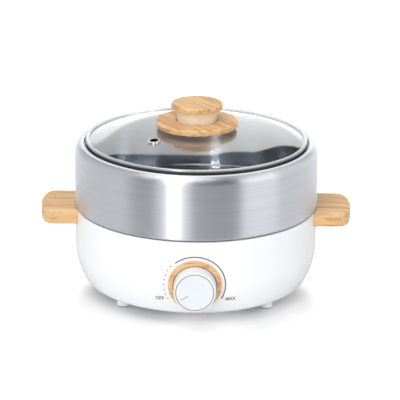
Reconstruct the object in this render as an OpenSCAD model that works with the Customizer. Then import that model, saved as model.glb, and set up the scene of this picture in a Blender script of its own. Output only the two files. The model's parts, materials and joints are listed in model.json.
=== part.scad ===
// Round electric skillet: moulded base with a dial, lift-out steel pot and lift-off glass lid.
// Millimetres, +Z up. The origin is on the floor under the middle of the pot, and the dial faces -Y.

/* [Base shell] */
// Outer radius of the shell, and of the pot above it
body_r = 120; // [114:1:130]
// Height of the shell from its underside to its rim
base_h = 77; // [74:1:90]
// How far the rounded lower edge draws in
base_round_w = 17; // [14:0.5:20]
// Height of the rounded lower edge
base_round_h = 38; // [32:1:44]
// Radius of the tight arc where the wall turns under
base_edge_r = 9.5; // [8:0.5:12]
// Thickness of the moulded wall
shell_wall = 2.8; // [2:0.1:3.5]
// Width of the flat ring left round the bottom cover
flat_ring_w = 19; // [18:0.5:24]
// Thickness of the bottom cover
cover_t = 2.4; // [2:0.1:3]

/* [Feet] */
// Height of a foot with its pad
foot_h = 9; // [7:0.5:14]
// Radius of a foot where it stands
foot_r = 7; // [6.5:0.1:8]
// Angle of the feet from the side-to-side axis
foot_angle = 42; // [36:1:50]
// Radius of a rubber pad
pad_r = 5.2; // [4:0.1:5.8]
// Thickness of a rubber pad
pad_t = 2.5; // [2:0.1:4]

/* [Pot] */
// Height of the pot's lip above the shell's rim
pot_rise = 63.5; // [50:0.5:90]
// Thickness of the steel sheet
pot_sheet = 1; // [0.6:0.1:1.4]
// Radius of the drawn shoulder under the lip
shoulder_r = 8; // [6:0.5:12]
// How far the part that drops into the base draws in
well_step = 16; // [15.5:0.5:22]
// Depth of the part that drops into the base
well_depth = 14; // [11:0.5:16]
// Radius between the pot's floor and its lower wall
well_corner_r = 8; // [5:0.5:10]
// Radius of the edge above the shell's rim
step_corner_r = 2.5; // [2:0.1:4]
// Gap between the pot's step and the shell's rim
rim_gap = 0.6; // [0.4:0.1:1.5]
// Depth of the lid's seat under the lip
seat_drop = 3.5; // [2:0.5:5]
// Width of the lid's seat
seat_w = 6; // [5:0.5:9]

/* [Lid] */
// Gap between the lid's rim and the pot's lip
lid_gap = 1.8; // [0.8:0.1:2.2]
// Height of the lid's rim above the lip
rim_rise = 4.5; // [2:0.1:7]
// Radial width of the lid's rim
rim_w = 3.2; // [3.2:0.1:5]
// Height of the crown of the glass above the rim
crown_rise = 10.5; // [6:0.5:20]
// Thickness of the glass
glass_t = 4; // [3:0.1:4.5]
// Distance of the steam vent from the middle
vent_distance = 57; // [52:1:80]
// Direction of the steam vent
vent_azimuth = 224; // [0:1:359]
// Bore radius of the vent's eyelet
vent_r = 3.2; // [2:0.1:4]

/* [Lid knob] */
// Radius of the wide lower disc
disc_r = 40.4; // [30:0.2:48]
// Thickness of the wide lower disc
disc_t = 6; // [5:0.2:9]
// Radius of the pale neck
neck_r = 19.6; // [16:0.2:22]
// Visible height of the neck between the disc and the cap
neck_h = 11.9; // [9:0.1:18]
// Radius of the cap
cap_r = 25.5; // [23:0.5:30]
// Thickness of the cap
cap_t = 5.8; // [5.2:0.1:9]
// Radius of the soft edges of the knob's discs
knob_edge_r = 1.8; // [0.8:0.1:2.3]
// Depth of the recess that takes the neck
recess_depth = 2.5; // [1.5:0.1:3]
// Radius of the screw that holds the knob
knob_screw_r = 2.5; // [2:0.1:3]

/* [Handles] */
// How far a handle reaches past the shell
handle_reach = 33.7; // [26:0.1:45]
// Width of a handle, front to back
handle_w = 63; // [46:1:70]
// Thickness of a handle
handle_t = 15; // [13:0.5:18]
// How far a handle stands above the shell's rim
handle_over = 1; // [0:0.1:3]
// Corner radius of a handle seen from above
handle_corner_r = 11; // [6:0.5:16]
// Radius of the bowed end of a handle seen from above
handle_bow_r = 80; // [50:1:160]
// Radius of the softened edges of a handle
handle_edge = 1.8; // [0.8:0.1:3]

/* [Dial] */
// Drop of the dial's axis below the shell's rim
dial_drop = 43.5; // [42:0.5:46]
// Outer radius of the wooden ring round the dial
bezel_r = 25.5; // [25.4:0.1:28]
// Radial width of the wooden ring
bezel_w = 4.3; // [3:0.1:4.3]
// Thickness of the wooden ring
bezel_t = 3; // [2:0.1:4]
// Least thickness of the wall in front of the thermostat's pocket
pocket_skin = 1.8; // [1.5:0.1:2.2]
// Radius of the knob at its back
dial_knob_r = 20.5; // [20.3:0.1:20.7]
// Radius of the knob at its front
dial_front_r = 20.1; // [20.1:0.1:20.4]
// How far the knob reaches out from its seat
dial_reach = 21.8; // [18:0.1:26]
// Radius of the disc set into the knob's front
dial_face_r = 17.5; // [16:0.1:17.5]
// Direction of the pointer at rest, seen from the front
dial_rest = 210; // [180:1:240]

/* [Heating] */
// Gap in plan between the heating plate and the pot's lower wall
plate_inset = 14; // [10:0.5:18]
// Thickness of the heating plate
plate_t = 9; // [8:0.5:10]
// Distance of the heating element's ring from the plate's edge
element_inset = 28; // [26:0.5:30]
// Radius of the heating element's sheath
element_r = 4; // [3:0.1:4.5]
// Height of the spacers under the heating plate
spacer_h = 5.8; // [5.4:0.1:6.5]
// Thickness of the liner's sheet
liner_sheet = 0.8; // [0.6:0.1:1.2]
// Gap between the pot and the liner
well_gap = 2.2; // [1.5:0.1:3]

/* [Power inlet] */
// Width of the socket's recess
socket_w = 25; // [24:0.5:28]
// Height of the socket's recess
socket_h = 17; // [16:0.5:18]
// Depth of the socket's recess
socket_depth = 16; // [14:0.5:18]
// Width of the block that carries the inlet
block_w = 56; // [56:1:64]
// Height of the block that carries the inlet
block_h = 30; // [29:1:34]
// How far the block reaches past the shell
block_reach = 14; // [11:0.5:18]
// Drop of the inlet's middle below the shell's rim
inlet_drop = 50; // [48:0.5:52]

/* [Hidden] */
$fn = 96;

wood = "burlywood";
steel = "silver";
white = "white";

// Clearances
close_fit = 0.05;
running_fit = 0.05;
seat_fit = 0.1;
trim_fit = 0.4;
over = 1;

// Heights of the base
base_z = foot_h;
rim_z = base_z + base_h;
round_z = base_z + base_round_h;
inner_r = body_r - shell_wall;
bottom_flat_r = body_r - base_round_w;
cover_opening_r = bottom_flat_r - flat_ring_w;

// The rounded edge is two tangent arcs: a long one on the side and a tight one underneath
side_arc_r = (pow(base_round_w, 2) + pow(base_round_h - base_edge_r, 2) - pow(base_edge_r, 2))
  / (2 * (base_round_w - base_edge_r));
side_arc_c = [body_r - side_arc_r, round_z];
edge_arc_c = [bottom_flat_r, base_z + base_edge_r];
arc_line = (edge_arc_c - side_arc_c) / norm(edge_arc_c - side_arc_c);
function arc_meet(inset) = side_arc_c + (side_arc_r - inset) * arc_line;
function wall_r(z) = z < round_z ? side_arc_c.x + sqrt(pow(side_arc_r, 2) - pow(round_z - z, 2)) : body_r;

// Feet stand halfway between the cover's opening and the edge of the flat underside
foot_ring_r = (cover_opening_r + bottom_flat_r) / 2;
pad_sunk = pad_t - 1;

// Bottom cover, its ledge and its screws
ledge_w = 10;
ledge_t = 2.4;
cover_r = cover_opening_r - trim_fit;
cover_top_z = base_z + cover_t;
cover_boss_r = 4.4;
cover_boss_h = 11;
cover_screw_ring_r = cover_opening_r - ledge_w / 2;
small_screw_r = 1.6;
small_head_r = 3;
small_head_h = 1.6;
vent_slots = 14;
vent_slot_w = 3.2;
vent_slot_l = 20;
vent_slot_ring_r = 50;

// Pot and its lip
well_r = body_r - well_step;
pot_floor_z = rim_z - well_depth;
step_z = rim_z + rim_gap;
lip_z = rim_z + pot_rise;
lip_r = body_r - shoulder_r;
mouth_r = lip_r - pot_sheet;
seat_z = lip_z - seat_drop;
seat_in_r = mouth_r - seat_w;
seat_turn = 2.5;

// Liner and heating plate, stacked down from the pot's floor
plate_bottom_z = pot_floor_z - plate_t;
plate_r = well_r - plate_inset;
element_ring_r = plate_r - element_inset;
liner_floor_z = plate_bottom_z - spacer_h;
liner_under_z = liner_floor_z - liner_sheet;
liner_in_r = well_r + well_gap;
liner_r = liner_in_r + liner_sheet;
liner_corner_r = 5;
flange_drop = 1.6;
flange_top_z = rim_z - flange_drop;
flange_under_z = flange_top_z - liner_sheet;
flange_r = inner_r - trim_fit;
liner_ledge_t = 1.6;
liner_ledge_in_r = liner_r + 2.5;
liner_boss_r = 2.9;
liner_boss_h = 9;
liner_screw_ring_r = inner_r - liner_boss_r - 1;
plate_screw_inset = 15;
plate_screw_ring_r = plate_r - plate_screw_inset;
plate_screw_r = 2;
plate_head_r = 3.8;
plate_head_h = 2.2;
plate_screw_bite = 5;
spacer_r = 4.2;
element_sink = 0.5;
element_z = plate_bottom_z + element_sink;
element_gap_angle = 50;
element_turn = 360 - element_gap_angle;
element_start = 90 + element_gap_angle / 2;
element_tail = 5;
cold_end_step = 0.8;
cold_end_r = element_r - cold_end_step;
cold_end_drop = 7;
cold_end_z = liner_under_z - cold_end_drop;
terminal_r = 1.2;
terminal_l = 4;
terminal_end_z = cold_end_z - terminal_l;
bushing_flange_r = 7.4;
bushing_spigot_r = 5.4;
bushing_flange_h = 1.6;
bushing_spigot_h = 4;
function element_end(side) = [
  side * element_ring_r * sin(element_gap_angle / 2), element_ring_r * cos(element_gap_angle / 2)
];

// Dial and thermostat: the flat seat is sunk into the wall, and the wooden ring follows the wall round it
dial_z = rim_z - dial_drop;
seat_wall = 3;
bezel_in_r = bezel_r - bezel_w;
knob_gap = 1;
case_w = 33;
case_h = 25;
case_depth = 22;
pocket_gap = 0.8;
pocket_r = norm([case_w, case_h]) / 2 + pocket_gap;
seat_y = wall_r(dial_z - pocket_r) - pocket_skin + seat_wall;
seat_sunk = body_r - seat_y;
boss_wall = 2.4;
boss_r = pocket_r + boss_wall;
boss_depth = seat_y - liner_r - 2;
case_flange_t = 1.5;
case_flange_r = pocket_r - trim_fit;
bush_r = 5;
bush_out = 1.6;
spindle_r = 3;
spindle_in = 14;
spindle_flat = 2.2;
spindle_tip = dial_reach - 4;
hub_r = 6;
face_t = 1.6;
face_sunk = 0.2;
groove_w = 0.7;
knob_wall = 2;
knob_corner_r = 1.8;
pointer_w = 1.15;
pointer_from = 6.9;
pointer_to = 15.3;
pointer_depth = 0.5;
thermostat_pitch = 28;
thermostat_screw_r = 1.9;
thermostat_head_r = 3.2;
thermostat_head_h = 1.5;
tab_w = 6.3;
tab_t = 0.8;
tab_l = 8;
thermostat_tab_x = 9;
thermostat_back_y = seat_wall + case_flange_t + case_depth - seat_y;
thermostat_tab_end_y = thermostat_back_y + tab_l;

// Handles
handle_top_z = rim_z + handle_over;
handle_bottom_z = handle_top_z - handle_t;
handle_end_x = body_r + handle_reach;
handle_root_x = body_r - handle_w / 2;
handle_screw_r = 2;
handle_head_r = 3.5;
handle_head_h = 2.4;
handle_screw_bite = 16;
handle_screw_z = handle_bottom_z + 4;
handle_screw_angle = 8;

// Rear block and power inlet
inlet_z = rim_z - inlet_drop;
inlet_face_y = body_r + block_reach;
block_corner_r = 6;
block_in_y = liner_r + 4;
block_face_t = 4;
inlet_flange_t = 2;
inlet_wall = 1.8;
inlet_w = socket_w + 2 * inlet_wall;
inlet_h = socket_h + 2 * inlet_wall;
inlet_flange_w = block_w - 6;
inlet_flange_h = inlet_h + 3;
inlet_back = 4;
inlet_back_y = inlet_face_y - socket_depth - inlet_back;
inlet_screw_x = (inlet_w + inlet_flange_w) / 4;
inlet_post_r = 3.1;
inlet_post_l = 7;
socket_chamfer = 4;
blade_w = 4;
blade_t = 2;
blade_l = 14;
blade_x = 7;
blade_offset_z = 2;
inlet_tab_end_y = inlet_back_y - tab_l;

// Lid
rim_r = mouth_r - lid_gap;
rim_in_r = rim_r - rim_w;
rim_top_z = lip_z + rim_rise;
rim_lip_r = 1.5;
rim_cover = 2.2;
glass_r = rim_r - 1.4;
crown_z = rim_top_z + crown_rise;
glass_rise = crown_rise + rim_cover;
dome_r = (pow(glass_r, 2) + pow(glass_rise, 2)) / (2 * glass_rise);
dome_c = crown_z - dome_r;
vent_tilt = asin(vent_distance / dome_r);
grommet_wall = 0.9;
grommet_flange_w = 2.4;
grommet_flange_t = 0.8;
grommet_r = vent_r + grommet_wall;

// Lid knob, stacked up from the crown of the glass
seal_t = 1;
seal_r = 14;
washer_r = 9;
washer_t = 1;
inner_crown_z = crown_z - glass_t;
seal_clear = 0.15;
disc_z = crown_z + seal_t;
neck_z = disc_z + disc_t - recess_depth;
cap_z = disc_z + disc_t + neck_h;
recess_gap = 0.8;
glass_hole_r = knob_screw_r + 1.7;
insert_r = knob_screw_r + 1.5;
insert_h = cap_t - 1.8;
screw_head_r = 4.6;
screw_head_h = 3;
lower_seal_z = inner_crown_z - seal_clear - seal_t;
washer_z = lower_seal_z - washer_t;

// Sensor and fuse, held against the underside of the heating plate
bulb_r = 2.1;
bulb_l = 40;
bulb_inset = 18;
bulb_y = bulb_inset - element_ring_r;
bulb_end_x = 15;
bulb_z = plate_bottom_z - bulb_r - seat_fit;
capillary_r = 0.8;
fuse_r = 2;
fuse_l = 15;
fuse_inset = 24;
fuse_x = element_ring_r - fuse_inset;
fuse_y = 14;
fuse_pin_r = 0.6;
fuse_pin_l = 3;
fuse_z = plate_bottom_z - fuse_r - seat_fit;
clip_t = 0.5;
clip_w = 7;
clip_ear = 5;
wire_hole_r = 4;
wire_r = 1.2;
fuse_in_y = fuse_y - fuse_l / 2 - fuse_pin_l;
fuse_out_y = fuse_y + fuse_l / 2 + fuse_pin_l;
wire_run = 9;
fuse_in_hole = [fuse_x, fuse_in_y - wire_run];
fuse_out_hole = [fuse_x, fuse_out_y + wire_run];
capillary_step = 11;
capillary_hole = [bulb_end_x + capillary_step, bulb_y - wire_hole_r];
capillary_x = 12;
capillary_z = dial_z + capillary_x / 2;
capillary_run = 10;
lead_x = fuse_x - 2;
lead_z = cover_top_z + 8.6;
lead_straight = 6;
lead_over_boss_z = cover_top_z + cover_boss_h + 2 * wire_r;
earth_y = 36;
earth_screw_r = 2;
earth_head_r = 3.6;
earth_head_h = 2;
earth_nut_h = 2;
earth_tag_r = 4.4;
earth_tag_t = 0.8;
earth_barrel_l = 5;
earth_barrel_r = 1.2;
earth_z = liner_under_z - earth_barrel_r - 0.4;

// Shared shapes

// Rounded rectangle about the origin
module rounded_rect(w, h, r) {
  square([w - 2 * r, h], center = true);
  square([w, h - 2 * r], center = true);
  for (x = [-1, 1], y = [-1, 1]) translate([x * (w / 2 - r), y * (h / 2 - r)]) circle(r);
}

// Half section of a disc with soft outer edges, standing on the axis line
module soft_disc_half(r_in, r_out, h, edge) {
  translate([r_in, 0]) square([r_out - edge - r_in, h]);
  translate([r_in, edge]) square([r_out - r_in, h - 2 * edge]);
  for (z = [edge, h - edge]) translate([r_out - edge, z]) circle(edge);
}

// Half section of a plain ring
module ring_half(r_in, r_out, z_low, z_high) {
  translate([r_in, z_low]) square([r_out - r_in, z_high - z_low]);
}

// Screw along +Z: the head's seat is at zero, and the shank goes up
module screw(shank_r, shank_l, head_r, head_h) {
  cylinder(r = shank_r, h = shank_l);
  translate([0, 0, -head_h]) cylinder(r = head_r, h = head_h);
}

// Places children at each angle on a circle
module around(ring_r, angles) {
  for (a = angles) rotate([0, 0, a]) translate([ring_r, 0, 0]) children();
}

// The dial's own frame: local +Z points out of the front, from the flat seat
module on_dial() {
  translate([0, -seat_y, dial_z]) rotate([90, 0, 0]) children();
}

// The inlet's own frame: local +Z points out of the back, from the block's face
module on_inlet() {
  translate([0, inlet_face_y, inlet_z]) rotate([90, 0, 180]) children();
}

// The vent's own frame: local +Z is the normal of the dome, from its outer face
module on_vent() {
  translate([0, 0, dome_c]) rotate([0, vent_tilt, vent_azimuth]) translate([0, 0, dome_r]) children();
}

// Round tube along a route, smoothed between its points
function catmull(a, b, c, d, t) = 0.5 * (2 * b + (c - a) * t + (2 * a - 5 * b + 4 * c - d) * t * t
  + (3 * b - a - 3 * c + d) * t * t * t);
function smooth_route(p, steps) = concat(
  [for (i = [0:len(p) - 2], k = [0:steps - 1])
    catmull(p[max(i - 1, 0)], p[i], p[i + 1], p[min(i + 2, len(p) - 1)], k / steps)],
  [p[len(p) - 1]]
);
function unit(v) = v / norm(v);
function heading(p, i, first, final) = i == 0 ? first : i == len(p) - 1 ? final : unit(p[i + 1] - p[i - 1]);
function ring_points(c, d, aside, r, sides) = let (u = unit(cross(d, aside)), v = cross(d, u))
  [for (k = [0:sides - 1]) c + r * (u * cos(360 * k / sides) + v * sin(360 * k / sides))];

module tube(route, r, sides = 8, steps = 3, aside = [0.9, 0.1, 0.3]) {
  p = smooth_route(route, steps);
  last = len(p) - 1;
  first = unit(route[1] - route[0]);
  final = unit(route[len(route) - 1] - route[len(route) - 2]);
  points = [for (i = [0:last]) each ring_points(p[i], heading(p, i, first, final), aside, r, sides)];
  side_faces = [for (i = [0:last - 1], k = [0:sides - 1], half = [0, 1])
    let (a = i * sides + k, b = i * sides + (k + 1) % sides)
    half == 0 ? [a, a + sides, b] : [b, a + sides, b + sides]];
  start_cap = [for (k = [0:sides - 1]) k];
  end_cap = [for (k = [sides - 1:-1:0]) last * sides + k];
  polyhedron(points = points, faces = concat([start_cap], side_faces, [end_cap]));
}

// Strap that holds a round body of radius r up against the heating plate; the body lies along X
module plate_strap(r, drop) {
  rotate([90, 0, 90]) linear_extrude(clip_w, center = true) {
    difference() {
      union() {
        translate([0, -drop]) circle(r + clip_t + close_fit);
        translate([-r - clip_t - close_fit, -drop]) square([2 * (r + clip_t + close_fit), drop]);
        translate([-r - clip_ear, -clip_t]) square([2 * (r + clip_ear), clip_t]);
      }
      translate([0, -drop]) circle(r + close_fit);
      translate([-r - close_fit, -drop]) square([2 * (r + close_fit), drop + over]);
    }
  }
}

// Base

// Half section of the base's outer form, drawn in by inset
module shell_half(inset) {
  meet = arc_meet(inset);
  translate([0, round_z]) square([body_r - inset, rim_z - round_z]);
  intersection() {
    translate(side_arc_c) circle(side_arc_r - inset, $fn = 360);
    translate([side_arc_c.x, meet.y]) square([2 * side_arc_r, round_z - meet.y]);
  }
  translate([0, meet.y]) square([side_arc_c.x, round_z - meet.y]);
  intersection() {
    translate(edge_arc_c) circle(base_edge_r - inset);
    translate([bottom_flat_r, base_z + inset]) square([2 * base_edge_r, meet.y - base_z - inset]);
  }
  translate([0, base_z + inset]) square([bottom_flat_r, meet.y - base_z - inset]);
}

module shell_wall_half() {
  difference() {
    shell_half(0);
    shell_half(shell_wall);
    translate([0, rim_z - over]) square([inner_r, 2 * over]);
    translate([0, base_z - over]) square([cover_opening_r, shell_wall + 2 * over]);
  }
  ring_half(cover_opening_r - ledge_w, cover_opening_r + ledge_w / 2, cover_top_z, cover_top_z + ledge_t);
  ring_half(liner_ledge_in_r, body_r - shell_wall / 2, flange_under_z - liner_ledge_t, flange_under_z);
}

module inlet_block() {
  on_inlet() translate([0, 0, block_in_y - inlet_face_y])
    linear_extrude(inlet_face_y - block_in_y) rounded_rect(block_w, block_h, block_corner_r);
}

module inlet_block_hollow() {
  depth = inlet_face_y - block_in_y - block_face_t;
  on_inlet() translate([0, 0, -block_face_t - depth - over]) linear_extrude(depth + over)
    rounded_rect(block_w - 2 * shell_wall, block_h - 2 * shell_wall, block_corner_r - shell_wall);
}

module handle_screw_places() {
  for (side = [0, 180], a = [-handle_screw_angle, handle_screw_angle])
    rotate([0, 0, side + a]) translate([inner_r - seat_fit, 0, handle_screw_z]) rotate([0, 90, 0]) children();
}

module foot_places() {
  for (side = [0, 180], a = [-foot_angle, foot_angle])
    rotate([0, 0, side + a]) translate([foot_ring_r, 0, 0]) children();
}

module cover_screw_places() {
  around(cover_screw_ring_r, [0, 90, 180, 270]) children();
}

module liner_screw_places() {
  around(liner_screw_ring_r, [45, 135, 225, 315]) children();
}

module inlet_screw_places() {
  on_inlet() for (x = [-inlet_screw_x, inlet_screw_x]) translate([x, 0, 0]) children();
}

module thermostat_screw_places() {
  on_dial() for (x = [-thermostat_pitch / 2, thermostat_pitch / 2]) translate([x, 0, 0]) children();
}

module base_shell() {
  color(white) difference() {
    union() {
      rotate_extrude() shell_wall_half();
      foot_places() translate([0, 0, pad_t - pad_sunk]) cylinder(r = foot_r, h = base_z - pad_t + pad_sunk + over);
      intersection() {
        on_dial() translate([0, 0, -boss_depth]) cylinder(r = boss_r, h = boss_depth + seat_sunk);
        rotate_extrude() shell_half(shell_wall / 2);
      }
      inlet_block();
      cover_screw_places() translate([0, 0, cover_top_z]) cylinder(r = cover_boss_r, h = cover_boss_h);
      liner_screw_places() translate([0, 0, flange_under_z - liner_boss_h])
        cylinder(r = liner_boss_r, h = liner_boss_h);
    }
    foot_places() translate([0, 0, -over]) cylinder(r = pad_r + seat_fit, h = pad_t + over);
    on_dial() cylinder(r = bezel_in_r, h = seat_sunk + over);
    on_dial() translate([0, 0, -boss_depth - 2 * over]) cylinder(r = pocket_r, h = boss_depth + 2 * over - seat_wall);
    on_dial() translate([0, 0, -seat_wall - over]) cylinder(r = bush_r + seat_fit, h = seat_wall + 2 * over);
    thermostat_screw_places() {
      translate([0, 0, -seat_wall - over]) cylinder(r = thermostat_screw_r + seat_fit, h = seat_wall + 2 * over);
      translate([0, 0, -thermostat_head_h]) cylinder(r = thermostat_head_r + seat_fit, h = thermostat_head_h + over);
    }
    difference() {
      inlet_block_hollow();
      inlet_screw_places() translate([0, 0, -block_face_t - inlet_post_l]) cylinder(r = inlet_post_r, h = inlet_post_l + over);
    }
    on_inlet() translate([0, 0, -inlet_flange_t]) linear_extrude(inlet_flange_t + over)
      rounded_rect(inlet_flange_w + 2 * seat_fit, inlet_flange_h + 2 * seat_fit, 3 + seat_fit);
    on_inlet() translate([0, 0, -block_face_t - over]) linear_extrude(block_face_t + 2 * over)
      square([inlet_w + 2 * seat_fit, inlet_h + 2 * seat_fit], center = true);
    inlet_screw_places() translate([0, 0, -block_face_t - inlet_post_l])
      cylinder(r = small_screw_r + close_fit, h = block_face_t + inlet_post_l + over);
    cover_screw_places() translate([0, 0, base_z]) cylinder(r = small_screw_r + close_fit, h = cover_t + cover_boss_h - over);
    liner_screw_places() translate([0, 0, flange_under_z - liner_boss_h + over])
      cylinder(r = small_screw_r + close_fit, h = liner_boss_h);
    handle_screw_places() translate([0, 0, -over]) cylinder(r = handle_screw_r + seat_fit, h = shell_wall + 3 * over);
  }
}

module bottom_cover() {
  color(white) difference() {
    translate([0, 0, base_z]) cylinder(r = cover_r, h = cover_t);
    cover_screw_places() translate([0, 0, base_z - over]) cylinder(r = small_screw_r + seat_fit, h = cover_t + 2 * over);
    around(vent_slot_ring_r, [for (i = [0:vent_slots - 1]) i * 360 / vent_slots])
      translate([0, 0, base_z - over]) linear_extrude(cover_t + 2 * over)
        rounded_rect(vent_slot_l, vent_slot_w, vent_slot_w / 2 - 0.01);
  }
}

module cover_screws() {
  color(steel) cover_screw_places() translate([0, 0, base_z])
    screw(small_screw_r, cover_t + cover_boss_h - 3 * over, small_head_r, small_head_h);
}

module foot_pads() {
  color("dimgray") foot_places() cylinder(r = pad_r, h = pad_t);
}

// Handles

// Plan of a handle, drawn in by inset: bowed end with rounded corners
module handle_outline(inset) {
  bow_c = handle_end_x - handle_bow_r;
  corner_y = handle_w / 2 - handle_corner_r;
  corner_x = bow_c + sqrt(pow(handle_bow_r - handle_corner_r, 2) - pow(corner_y, 2));
  bow_y = corner_y * handle_bow_r / (handle_bow_r - handle_corner_r);
  for (y = [-corner_y, corner_y]) translate([corner_x, y]) circle(handle_corner_r - inset, $fn = 48);
  intersection() {
    translate([bow_c, 0]) circle(handle_bow_r - inset, $fn = 240);
    translate([corner_x, -bow_y]) square([handle_bow_r, 2 * bow_y]);
  }
  translate([handle_root_x, inset - handle_w / 2]) square([corner_x - handle_root_x, handle_w - 2 * inset]);
}

// Right-hand handle: slab with rounded edges, hollowed to the round of the shell and the pot
module handle() {
  difference() {
    hull() for (a = [0, 30, 60, 90]) {
      drop = handle_edge * (1 - sin(a));
      translate([0, 0, handle_bottom_z + drop]) linear_extrude(handle_t - 2 * drop)
        handle_outline(handle_edge * (1 - cos(a)));
    }
    translate([0, 0, handle_bottom_z - over]) cylinder(r = body_r + close_fit, h = handle_t + 2 * over);
    translate([0, 0, rim_z]) cylinder(r = body_r + trim_fit, h = handle_t);
    handle_screw_places() cylinder(r = handle_screw_r + close_fit, h = shell_wall + handle_screw_bite + over);
  }
}

module handle_right() {
  color(wood) handle();
}

module handle_left() {
  color(wood) mirror([1, 0, 0]) handle();
}

module handle_screws() {
  color(steel) handle_screw_places() screw(handle_screw_r, shell_wall + handle_screw_bite, handle_head_r, handle_head_h);
}

// Dial

// Half section of a band that follows the wall outside it, a close fit
module bezel_band_half() {
  difference() {
    shell_half(-bezel_t);
    shell_half(-close_fit);
  }
}

// Wooden ring, cut from the band so that its lower half draws in with the wall
module dial_bezel() {
  color(wood) intersection() {
    rotate_extrude() bezel_band_half();
    on_dial() translate([0, 0, -bezel_r]) difference() {
      cylinder(r = bezel_r, h = bezel_r + seat_sunk + 2 * bezel_t);
      translate([0, 0, -over]) cylinder(r = bezel_in_r, h = bezel_r + seat_sunk + 2 * bezel_t + 2 * over);
    }
  }
}

module thermostat_case() {
  color("gainsboro") on_dial() difference() {
    union() {
      translate([0, 0, -seat_wall - case_flange_t]) cylinder(r = case_flange_r, h = case_flange_t);
      translate([-case_w / 2, -case_h / 2, -seat_wall - case_flange_t - case_depth]) cube([case_w, case_h, case_depth]);
      translate([0, 0, -seat_wall - over]) cylinder(r = bush_r, h = seat_wall + over + bush_out);
    }
    translate([0, 0, -spindle_in]) cylinder(r = spindle_r + running_fit, h = spindle_in + bush_out + over);
    for (x = [-thermostat_pitch / 2, thermostat_pitch / 2])
      translate([x, 0, -seat_wall - case_flange_t - 6]) cylinder(r = thermostat_screw_r + close_fit, h = 6 + case_flange_t + over);
  }
}

module thermostat_tabs() {
  color("goldenrod") for (x = [-thermostat_tab_x, thermostat_tab_x])
    translate([x - tab_w / 2, thermostat_back_y, dial_z - tab_t / 2]) cube([tab_w, tab_l, tab_t]);
}

module thermostat_screws() {
  color(steel) thermostat_screw_places() translate([0, 0, -thermostat_head_h]) mirror([0, 0, 1])
    screw(thermostat_screw_r, seat_wall - thermostat_head_h + case_flange_t + 4, thermostat_head_r, thermostat_head_h);
}

module thermostat_spindle() {
  color(steel) on_dial() difference() {
    translate([0, 0, over - spindle_in]) cylinder(r = spindle_r, h = spindle_in - over + spindle_tip);
    translate([-spindle_r, spindle_flat, bush_out + over]) cube([2 * spindle_r, spindle_r, spindle_tip]);
  }
}

module dial_knob() {
  face_floor = dial_reach - face_sunk - face_t;
  color(white) on_dial() difference() {
    rotate_extrude() {
      difference() {
        union() {
          polygon([[0, knob_gap], [dial_knob_r, knob_gap], [dial_front_r, dial_reach - knob_corner_r],
            [0, dial_reach - knob_corner_r]]);
          translate([0, knob_gap]) square([dial_front_r - knob_corner_r, dial_reach - knob_gap]);
          translate([dial_front_r - knob_corner_r, dial_reach - knob_corner_r]) circle(knob_corner_r);
        }
        translate([0, face_floor]) square([dial_face_r + groove_w, face_t + over]);
        translate([hub_r, 0]) square([dial_front_r - knob_wall - hub_r, face_floor - knob_wall]);
      }
    }
    translate([0, 0, -over]) cylinder(r = spindle_r + close_fit, h = spindle_tip + over + seat_fit);
    translate([0, 0, -over]) cylinder(r = bush_r + trim_fit, h = bush_out + 2 * over);
  }
}

module dial_face() {
  color("whitesmoke") on_dial() translate([0, 0, dial_reach - face_sunk - face_t]) difference() {
    cylinder(r = dial_face_r, h = face_t);
    rotate([0, 0, dial_rest]) translate([pointer_from, -pointer_w / 2, face_t - pointer_depth])
      cube([pointer_to - pointer_from, pointer_w, pointer_depth + over]);
  }
}

module dial_pointer() {
  color("darkgray") on_dial() translate([0, 0, dial_reach - face_sunk - pointer_depth]) rotate([0, 0, dial_rest])
    translate([pointer_from + close_fit, close_fit - pointer_w / 2, 0])
      cube([pointer_to - pointer_from - 2 * close_fit, pointer_w - 2 * close_fit, pointer_depth]);
}

module knob_spring() {
  leaf_t = 0.5;
  leaf_w = 2;
  color(steel) on_dial() translate([-leaf_w / 2, spindle_flat + close_fit, bush_out + 2 * over])
    cube([leaf_w, leaf_t, spindle_tip - bush_out - 3 * over]);
}

// Well liner and heating plate

module well_liner_half() {
  corner_in = liner_corner_r - liner_sheet;
  corner_c = [liner_r - liner_corner_r, liner_under_z + liner_corner_r];
  ring_half(liner_in_r, flange_r, flange_under_z, flange_top_z);
  ring_half(liner_in_r, liner_r, corner_c.y, flange_under_z);
  ring_half(0, corner_c.x, liner_under_z, liner_floor_z);
  intersection() {
    difference() {
      translate(corner_c) circle(liner_corner_r);
      translate(corner_c) circle(corner_in);
    }
    translate([corner_c.x, liner_under_z]) square(liner_corner_r);
  }
}

module plate_screw_places() {
  around(plate_screw_ring_r, [90, 210, 330]) children();
}

module well_liner() {
  color("lightgray") difference() {
    rotate_extrude() well_liner_half();
    plate_screw_places() translate([0, 0, liner_under_z - over]) cylinder(r = plate_screw_r + seat_fit, h = liner_sheet + 2 * over);
    liner_screw_places() translate([0, 0, flange_under_z - over]) cylinder(r = small_screw_r + seat_fit, h = liner_sheet + 2 * over);
    for (side = [-1, 1]) translate(element_end(side)) translate([0, 0, liner_under_z - over])
      cylinder(r = bushing_spigot_r + seat_fit, h = liner_sheet + 2 * over);
    for (p = [capillary_hole, fuse_in_hole, fuse_out_hole]) translate([p.x, p.y, liner_under_z - over])
      cylinder(r = wire_hole_r, h = liner_sheet + 2 * over);
    translate([0, earth_y, liner_under_z - over]) cylinder(r = earth_screw_r + seat_fit, h = liner_sheet + 2 * over);
  }
}

module liner_screws() {
  color(steel) liner_screw_places() translate([0, 0, flange_top_z]) mirror([0, 0, 1])
    screw(small_screw_r, liner_sheet + liner_boss_h - 2 * over, small_head_r, flange_drop - 0.2);
}

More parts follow.
